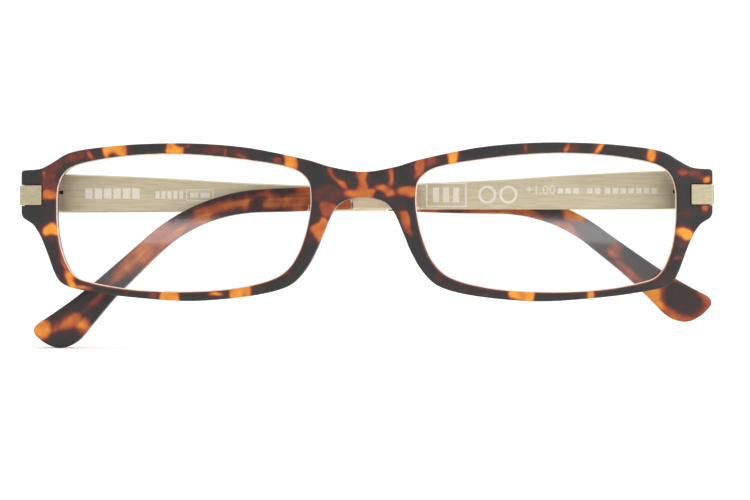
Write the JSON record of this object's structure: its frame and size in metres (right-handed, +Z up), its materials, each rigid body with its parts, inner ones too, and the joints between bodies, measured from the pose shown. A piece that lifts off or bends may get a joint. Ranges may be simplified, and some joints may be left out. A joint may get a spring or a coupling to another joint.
{
  "type": "folding reading glasses",
  "caption": "Reading glasses with a full-rim plastic front, clear meniscus lenses and slim metal temples with curved plastic tips, folded flat behind the front.",
  "frame": {"origin": "bottom centre of the bounding box of the folded glasses", "axes": "+X to the right as seen from the front, -Y forward out of the front of the lenses, +Z up as worn"},
  "size_m": [0.1374, 0.0186, 0.0404],
  "materials": {
    "tortoise_plastic": "satin, mottled dark brown and amber",
    "clear_lens": "clear and polished",
    "gold_metal": "brushed champagne gold plating",
    "hinge_steel": "satin"
  },
  "bodies": {
    "front": {"front_frame": "tortoise_plastic", "lens_right": "clear_lens", "lens_left": "clear_lens", "corner_trim_right": "gold_metal", "corner_trim_left": "gold_metal", "hinge_front_right": "hinge_steel", "hinge_front_left": "hinge_steel", "hinge_screw_right": "hinge_steel", "hinge_screw_left": "hinge_steel", "hinge_rivet_upper_right": "hinge_steel", "hinge_rivet_lower_right": "hinge_steel", "hinge_rivet_upper_left": "hinge_steel", "hinge_rivet_lower_left": "hinge_steel"},
    "temple_right": {"hinge_temple_right": "hinge_steel", "temple_plate_right": "gold_metal", "temple_tip_right": "tortoise_plastic"},
    "temple_left": {"hinge_temple_left": "hinge_steel", "temple_plate_left": "gold_metal", "temple_tip_left": "tortoise_plastic"}
  },
  "joints": [
    {"name": "temple_right_hinge", "type": "hinge", "parent": "front", "child": "temple_right", "pos_m": [0.06443, 0.00186, 0.03146], "axis": [0, 0, -1], "range_deg": [0, 91.85]},
    {"name": "temple_left_hinge", "type": "hinge", "parent": "front", "child": "temple_left", "pos_m": [-0.06517, 0.00186, 0.03146], "axis": [0, 0, 1], "range_deg": [0, 88.5]}
  ]
}
